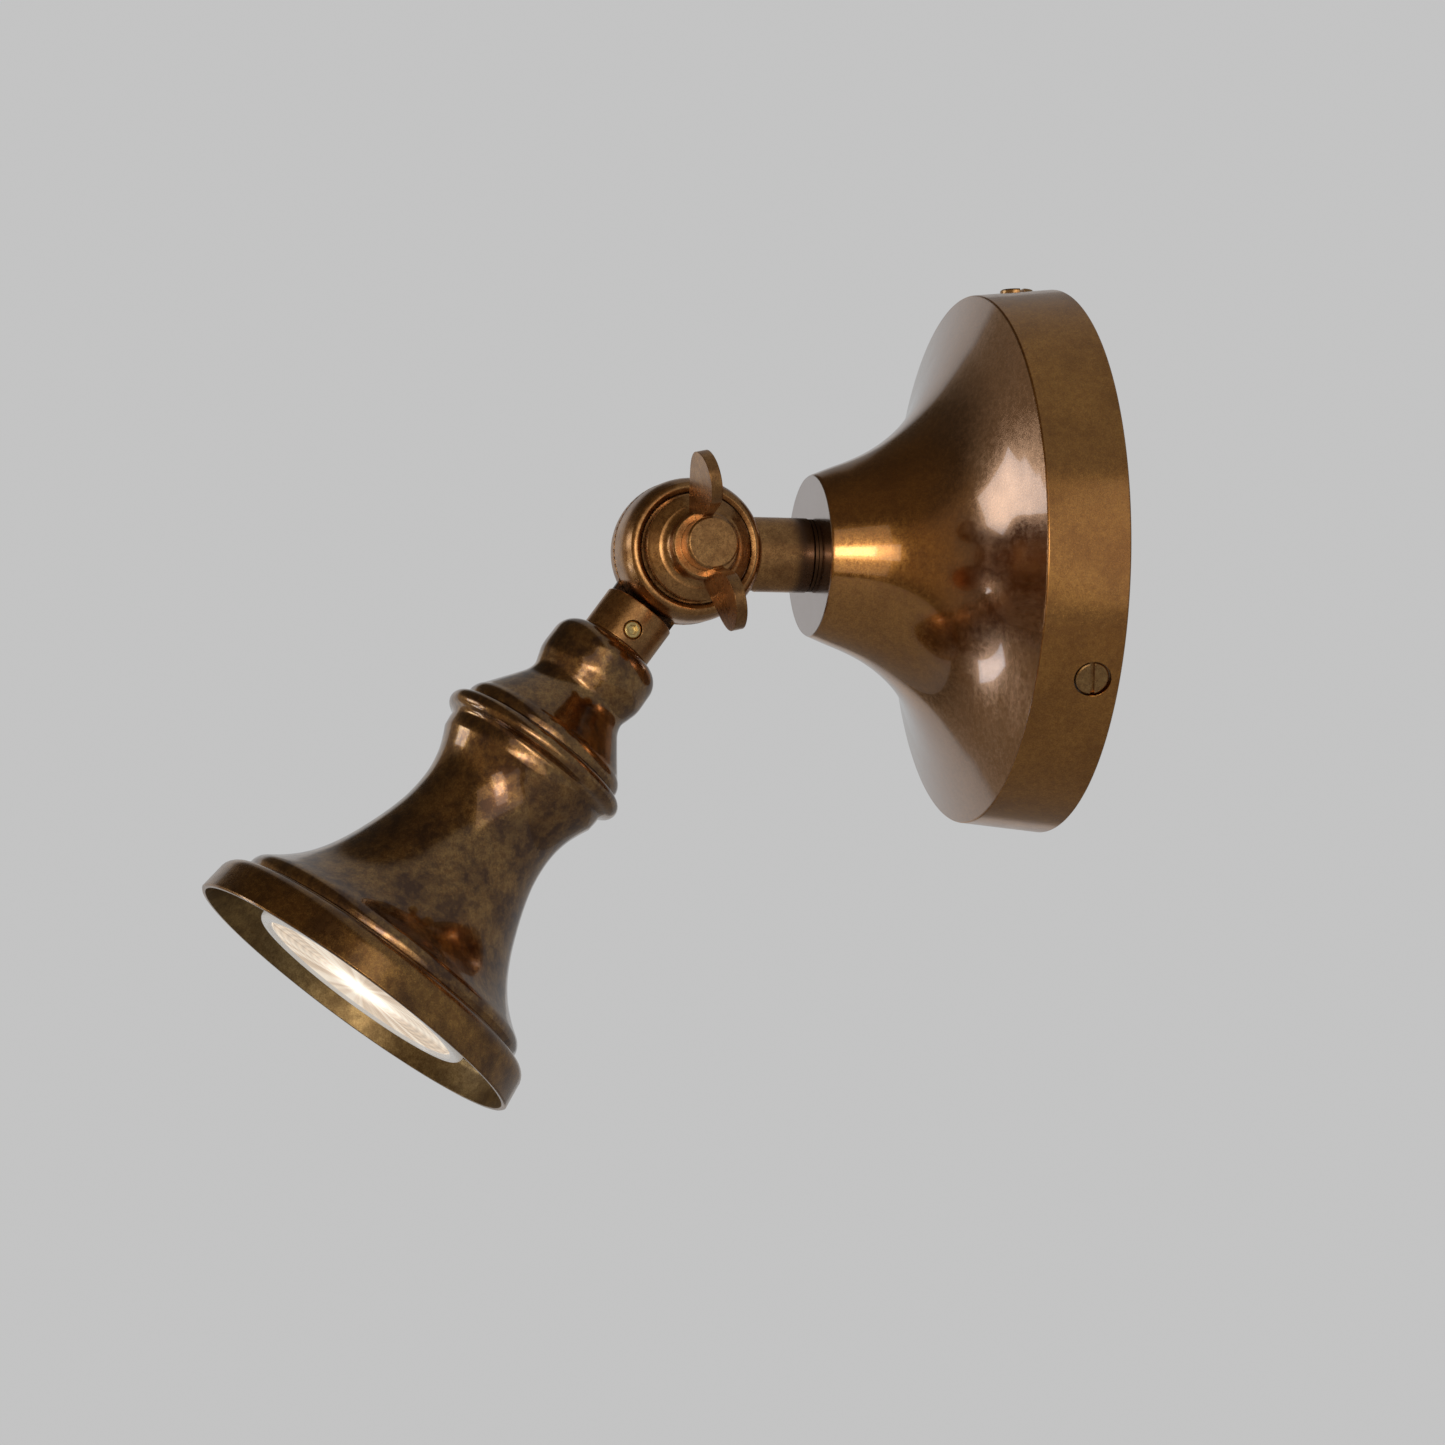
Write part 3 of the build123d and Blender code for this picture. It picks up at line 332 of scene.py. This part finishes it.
def curve(points, steps=6):
    """Smooth curve through the points, without the first (centripetal Catmull-Rom)."""
    p = [Vector(q) for q in points]
    p = [p[0] * 2 - p[1], *p, p[-1] * 2 - p[-2]]
    got = []
    for a, b, c, d in zip(p, p[1:], p[2:], p[3:]):
        t = [0.0]
        for u, v in ((a, b), (b, c), (c, d)):
            t.append(t[-1] + max((v - u).length, 1e-6) ** 0.5)
        for i in range(1, steps + 1):
            s = t[1] + (t[2] - t[1]) * i / steps
            a1 = a.lerp(b, (s - t[0]) / (t[1] - t[0]))
            a2 = b.lerp(c, (s - t[1]) / (t[2] - t[1]))
            a3 = c.lerp(d, (s - t[2]) / (t[3] - t[2]))
            b1 = a1.lerp(a2, (s - t[0]) / (t[2] - t[0]))
            b2 = a2.lerp(a3, (s - t[1]) / (t[3] - t[1]))
            got.append(tuple(b1.lerp(b2, (s - t[1]) / (t[2] - t[1]))))
    return got


def inset(points, wall):
    """The same curve moved square to itself, to its left side."""
    moved = []
    for i, (r, s) in enumerate(points):
        (r0, s0), (r1, s1) = points[max(i - 1, 0)], points[min(i + 1, len(points) - 1)]
        run = math.hypot(r1 - r0, s1 - s0)
        moved.append((r - wall * (s1 - s0) / run, s + wall * (r1 - r0) / run))
    return moved


TO_THE_END = 999      # past any outline's last face


def lathe(name, outline, origin, axis, material, second=None, span=(), turns=192):
    """Closed ring turned from an outline; the second material is on the faces in the span."""
    side = X_AXIS if abs(axis.dot(X_AXIS)) < 0.9 else Vector((0, 0, 1))
    across = axis.cross(side).normalized()
    bm = bmesh.new()
    rings = []
    for r, s in outline:
        ring = []
        for k in range(turns):
            t = 2 * math.pi * k / turns
            ring.append(bm.verts.new(origin + (axis * s + (side * math.cos(t)
                                                          + across * math.sin(t)) * r) * MM))
        rings.append(ring)
    for i, (low, high) in enumerate(zip(rings, rings[1:] + rings[:1])):
        for k in range(turns):
            face = bm.faces.new((low[k], low[(k + 1) % turns], high[(k + 1) % turns], high[k]))
            face.material_index = int(bool(span) and span[0] <= i < span[1])
    bmesh.ops.recalc_face_normals(bm, faces=bm.faces)
    mesh = bpy.data.meshes.new(name)
    bm.to_mesh(mesh)
    bm.free()
    obj = bpy.data.objects.new(name, mesh)
    bpy.context.scene.collection.objects.link(obj)
    mesh.materials.append(material)
    if second:
        mesh.materials.append(second)
    smooth(obj, 30)
    return obj


def turned(name, replaced, body, slot, *args, **more):
    """A lathe piece that stands for one CAD node and moves with its body."""
    obj = lathe(name, *args, **more)
    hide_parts(replaced)
    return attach(obj, body)


def drill(obj, centre, direction, radius, length):
    """Round hole through a piece."""
    bm = bmesh.new()
    bmesh.ops.create_cone(bm, cap_ends=True, segments=64, radius1=radius * MM,
                          radius2=radius * MM, depth=length * MM)
    turn = direction.to_track_quat("Z", "Y").to_matrix().to_4x4()
    bm.transform(Matrix.Translation(centre) @ turn)
    mesh = bpy.data.meshes.new("drill")
    bm.to_mesh(mesh)
    bm.free()
    tool = bpy.data.objects.new("drill", mesh)
    bpy.context.scene.collection.objects.link(tool)
    cut = obj.modifiers.new("hole", "BOOLEAN")
    cut.operation, cut.object, cut.solver = "DIFFERENCE", tool, "EXACT"
    with bpy.context.temp_override(object=obj, active_object=obj):
        bpy.ops.object.modifier_apply(modifier="hole")
    bpy.data.objects.remove(tool)


# Rose: straight band, trumpet flare and thick flat neck face
SIDE_SCREW_ANGLES = (90, 210, 330)
FLARE = [(55, 17.4), (53, 18.05), (49, 19.4), (43, 21.6), (37, 24.4), (32, 27.4), (28, 30.8),
         (24.5, 34.9), (22, 38.8), (20, 43), (18.3, 47.4), (16.85, 51.0)]
flare = curve(FLARE, 8)
flare_back = [p for p in inset([FLARE[0]] + flare, 1.4)[1:] if p[1] < 46.7]
EDGE_AT, EDGE_RADIUS = (54.68, 17.06), 0.38      # rounded edge between band and flare
edge_turns = [math.radians(8 * k) for k in range(10)]
band = [(56.6, 0.4), (56.8, 0.6)] + [(EDGE_AT[0] + EDGE_RADIUS * math.cos(a),
                                      EDGE_AT[1] + EDGE_RADIUS * math.sin(a))
                                     for a in edge_turns]
cover = lathe("rose_flare", band + flare + [(16.6, 51.3), (5.15, 51.3), (5.15, 48.7), (15.6, 48.7)]
              + flare_back[::-1] + [(53.6, 16.3), (55.4, 0.4)],
              Vector((0, 0, 0)), OUT, MATERIALS["rose"], second=MATERIALS["flare"],
              span=(len(band) - 1, len(band) + len(flare) + 1), turns=256)
for angle in SIDE_SCREW_ANGLES:
    way = Vector((math.cos(math.radians(angle)), 0, math.sin(math.radians(angle))))
    drill(cover, way * 57 * MM + OUT * 6 * MM, way, 3.8, 14)
smooth(cover, 26)
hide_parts("rose_cover")
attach(cover, "rose")

# Cap of the shade: gallery with a waist, end roll and the skirt inside the shade
CAP = [(12, 29), (12, 33), (11.4, 35.2), (10.9, 37.1), (11.4, 39), (12.9, 41.3), (15, 44.2),
       (17.1, 47.1)]
cap = curve(CAP)
cap_inside = inset([CAP[0]] + cap, 1.2)
turned("cap_turned", "shade_cap", "head", "patina_brass",
       [(5.0, 24.4), (8.6, 24.4)] + arc((8.6, 24.4), (11, 25.9), CAP[0]) + cap
       + arc(CAP[-1], (18.0, 48.2), (18.35, 49.4)) + [(18.2, 50.4), (16.9, 50.4),
       (16.9, 54.8), (15.7, 54.8), (15.7, 48.0)] + cap_inside[::-1] + [(10.0, 26.6), (5.0, 26.6)],
       HINGE, AIM, MATERIALS["head"])

# Shade: rolled bead, shoulder, waist and bell; the inside has its own finish
BELL = [(18.2, 58.4), (17.3, 60.3), (16.2, 63.2), (15.5, 66.8), (15.4, 70.2), (15.9, 74.8),
        (17, 79.2), (18.7, 84.2), (20.8, 89.3), (23.3, 93.9), (26, 97.5), (29, 100.4),
        (31.6, 102.4)]
bell = curve(BELL)
bell_inside = inset(bell, 1.2)
outside = ([(17.0, 50.7), (18.6, 50.7)] + arc((18.6, 50.7), (20.75, 52.8), (19.3, 54.6), 12)
           + arc((19.3, 54.6), (18.6, 55.2), (18.45, 56.2), 4) + [BELL[0]] + bell
           + arc(BELL[-1], (32.6, 103.4), (33.1, 104.8), 6) + [(32.7, 106), (31.3, 106)])
turned("shade_turned", "shade", "head", "patina_brass",
       outside + bell_inside[::-1] + [(17.0, 58.0)], HINGE, AIM, MATERIALS["head"],
       second=MATERIALS["inside"], span=(len(outside) - 1, TO_THE_END), turns=256)

# Front ring: rounded shoulder, straight band, thin bright lip
shoulder = ([(31.4, 106.05), (33.3, 106.05), (33.6, 106.4)]
            + arc((33.6, 106.4), (36.3, 107.3), (37.4, 109.8)) + [(38, 114.7), (37.7, 115)])
turned("front_ring_turned", "front_ring", "head", "patina_brass",
       shoulder + [(37, 115), (36.1, 109.6)] + arc((36.1, 109.6), (35.3, 108.3), (33.8, 107.7))
       + [(31.4, 107.4)], HINGE, AIM, MATERIALS["band"],
       second=MATERIALS["inside"], span=(len(shoulder), TO_THE_END), turns=256)

# Lamp: white rim and frosted lens
turned("lamp_rim_turned", "lamp_rim", "lamp", "lamp_white",
       [(22.3, 109.25), (24.8, 109.25), (25, 109.6), (25, 111.9)]
       + arc((25, 111.9), (24.6, 112.7), (23.9, 113)) + [(22.9, 113), (22.3, 112.4)],
       HINGE, AIM, MATERIALS["lamp"])
turned("lamp_lens_turned", "lamp_lens", "lamp", "lamp_lens",
       [(0.02, 109.3), (22.2, 109.3), (22.2, 112.1), (21.7, 112.5), (18, 112.5), (12, 112.5),
        (6, 112.5), (0.02, 112.5)], HINGE, AIM, MATERIALS["lens"])

for name, obj in nodes.items():
    if not obj.hide_render:
        smooth(obj, 24)


# ------------------------------------------------------- floor, light, camera
FLOOR_RADIUS, FLOOR_HEIGHT = 1.6, -0.9


def pale_floor():
    """Plain disc well below the light."""
    bm = bmesh.new()
    bmesh.ops.create_circle(bm, cap_ends=True, segments=96, radius=FLOOR_RADIUS)
    bm.transform(Matrix.Translation((0, 0, FLOOR_HEIGHT)))
    mesh = bpy.data.meshes.new("floor")
    bm.to_mesh(mesh)
    bm.free()
    floor = bpy.data.objects.new("floor", mesh)
    bpy.context.scene.collection.objects.link(floor)
    mesh.materials.append(plain("floor_grey", (0.72, 0.72, 0.72), 0.8, vary=0.02, grain_mm=40))


pale_floor()
BACKDROP = 0.55   # brightness of the plain background behind the object


def studio():
    """Pale behind the camera's view, pale towards the wall and far left, a darker room in front."""
    world = bpy.data.worlds.new("studio")
    bpy.context.scene.world = world
    world.use_nodes = True
    n = Nodes(world.node_tree)
    way = n.node("ShaderNodeSeparateXYZ")
    n.put(n.node("ShaderNodeTexCoord").outputs["Generated"], way.inputs[0])
    x, y, z = way.outputs
    height = n.math("ABSOLUTE", z)
    far_left = n.math("MULTIPLY", n.span(x, -0.845, -0.875), n.span(height, 0.36, 0.56, 0.42, 0.0))
    wall = n.math("MULTIPLY", n.span(y, -0.12, 0.12), 0.21)
    side = n.span(x, -0.5, 0.4, 0.05, 0.09)
    room = n.math("MAXIMUM", side, n.span(height, 0.25, 0.62, 0.20, 0.0))
    level = n.math("MAXIMUM", n.math("MAXIMUM", far_left, wall), room)
    seen = n.node("ShaderNodeLightPath").outputs["Is Camera Ray"]
    level = n.math("ADD", n.math("MULTIPLY", level, n.math("SUBTRACT", 1.0, seen)),
                   n.math("MULTIPLY", seen, BACKDROP))
    back = n.nt.nodes["Background"]
    pale = n.math("MAXIMUM", n.math("MAXIMUM", far_left, wall), seen)
    n.put(n.mix(n.span(pale, 0.04, 0.16), (1.0, 0.74, 0.46), (1.0, 1.0, 1.0)), back.inputs["Color"])
    n.put(level, back.inputs["Strength"])


studio()

MIDDLE = Vector((0.02, -0.05, -0.015))


def softbox(name, round_deg, up_deg, wide_deg, high_deg, radiance, color=(1, 1, 1), distance=3.0):
    """Rectangular light seen from the object at these angles (round from -Y to +X) and sizes."""
    a, e = math.radians(round_deg), math.radians(up_deg)
    away = Vector((math.sin(a) * math.cos(e), -math.cos(a) * math.cos(e), math.sin(e)))
    light = bpy.data.lights.new(name, "AREA")
    light.shape = "RECTANGLE"
    light.size = 2 * distance * math.tan(math.radians(wide_deg / 2))
    light.size_y = 2 * distance * math.tan(math.radians(high_deg / 2))
    light.energy, light.color = radiance * math.pi * light.size * light.size_y, color
    obj = bpy.data.objects.new(name, light)
    bpy.context.scene.collection.objects.link(obj)
    obj.location = MIDDLE + away * distance
    obj.rotation_euler = away.to_track_quat("Z", "Y").to_euler()
    obj.visible_camera = False


WARM = (1.0, 0.93, 0.84)
# Window shapes on the left, soft warm light in front
softbox("window_left", -27, 11, 20, 13, 2.0, (0.92, 1.0, 1.12))
softbox("window_strip", -13, 3, 4, 9, 4)
softbox("window_small", -22, -6, 7, 4, 5)
softbox("window_low", -34, -13, 9, 8, 2.6, (0.86, 1.0, 1.2))
softbox("front_fill", 67, 1, 40, 16, 1.4, WARM)
softbox("front_core", 67, 2, 14, 10, 3.2, WARM)
softbox("front_broad", 76, 3, 46, 56, 0.42, WARM)

# Camera: turned 74.9 degrees round from the room side, 3.5 degrees below level
CAMERA_BACK, CAMERA_LEFT, CAMERA_DOWN = 1216.944, 67.544, 33.773
turn, tip = math.radians(74.931), math.radians(-3.471)
right = Vector((math.cos(turn), math.sin(turn), 0))
backward = Vector((math.sin(turn) * math.cos(tip), -math.cos(turn) * math.cos(tip),
                   math.sin(tip)))
up = backward.cross(right)
lens = bpy.data.cameras.new("camera")
lens.sensor_width, lens.lens = 36, 144.65
lens.clip_start, lens.clip_end = 0.05, 20
camera = bpy.data.objects.new("camera", lens)
bpy.context.scene.collection.objects.link(camera)
eye = (backward * CAMERA_BACK - right * CAMERA_LEFT - up * CAMERA_DOWN) * MM
camera.matrix_world = (Matrix.Translation(eye)
                       @ Matrix((right, up, backward)).transposed().to_4x4())
bpy.context.scene.camera = camera
bpy.context.scene.view_settings.view_transform = "Standard"
